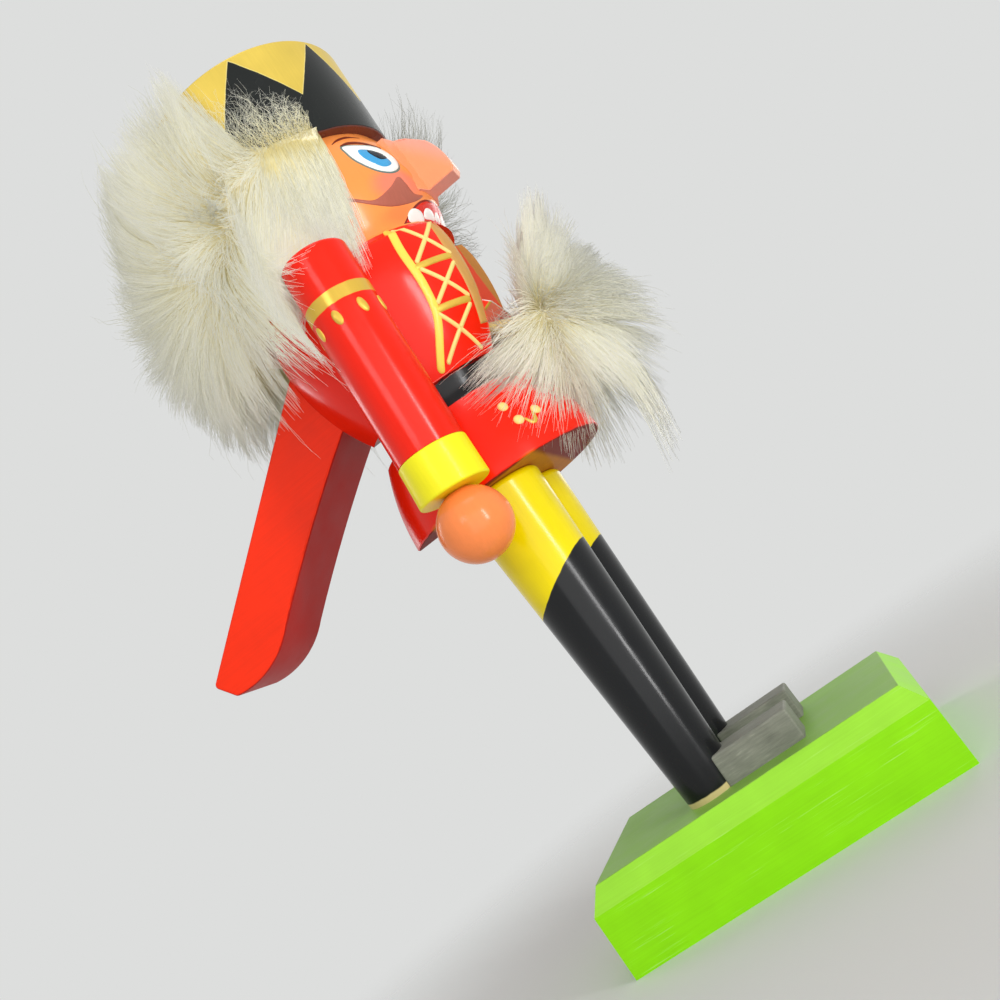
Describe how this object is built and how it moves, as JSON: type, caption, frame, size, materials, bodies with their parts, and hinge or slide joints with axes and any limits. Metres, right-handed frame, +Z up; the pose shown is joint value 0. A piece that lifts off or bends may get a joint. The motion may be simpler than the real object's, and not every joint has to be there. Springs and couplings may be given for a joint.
{
  "type": "wooden nutcracker figure",
  "caption": "Standing painted wooden soldier nutcracker on a block, with a long back lever that works its jaw, fur hair and beard.",
  "frame": {"origin": "centre of the base block's underside", "axes": "+Z up through the figure, the face looks along -Y, the figure's left hand is on the +X side"},
  "size_m": [0.1068, 0.1699, 0.269],
  "materials": {
    "base_paint": "satin lime green paint on a sawn block",
    "foot_paint": "thin dark grey paint with the grain showing",
    "leg_paint": "gloss black boots, yellow trousers above",
    "coat_paint": "gloss red coat, black belt, painted face",
    "hat_paint": "gloss black with a gold crown, brown underside",
    "nose_paint": "satin pink paint",
    "arm_paint": "gloss red with a gold band",
    "cuff_paint": "satin yellow paint",
    "hand_paint": "gloss skin-coloured paint",
    "lever_paint": "satin red paint",
    "bare_beech": "bare dowel",
    "pin_steel": "plain steel pin",
    "fur": "long cream rabbit fur"
  },
  "bodies": {
    "figure": {"base_block": "base_paint", "body": "coat_paint", "hat": "hat_paint", "hat_dowel": "bare_beech", "nose": "nose_paint", "pivot_pin": "pin_steel", "hair_fur": "fur", "right_foot": "foot_paint", "right_leg": "leg_paint", "right_ankle_dowel": "bare_beech", "right_hip_dowel": "bare_beech", "right_arm": "arm_paint", "right_shoulder_dowel": "bare_beech", "right_cuff": "cuff_paint", "right_wrist_dowel": "bare_beech", "right_hand": "hand_paint", "left_foot": "foot_paint", "left_leg": "leg_paint", "left_ankle_dowel": "bare_beech", "left_hip_dowel": "bare_beech", "left_arm": "arm_paint", "left_shoulder_dowel": "bare_beech", "left_cuff": "cuff_paint", "left_wrist_dowel": "bare_beech", "left_hand": "hand_paint"},
    "lever": {"lever": "lever_paint", "beard_fur": "fur"}
  },
  "joints": [
    {"name": "jaw_hinge", "type": "hinge", "parent": "figure", "child": "lever", "pos_m": [0, 0.013, 0.1856], "axis": [1, 0, 0], "range_deg": [-44, 0]}
  ]
}
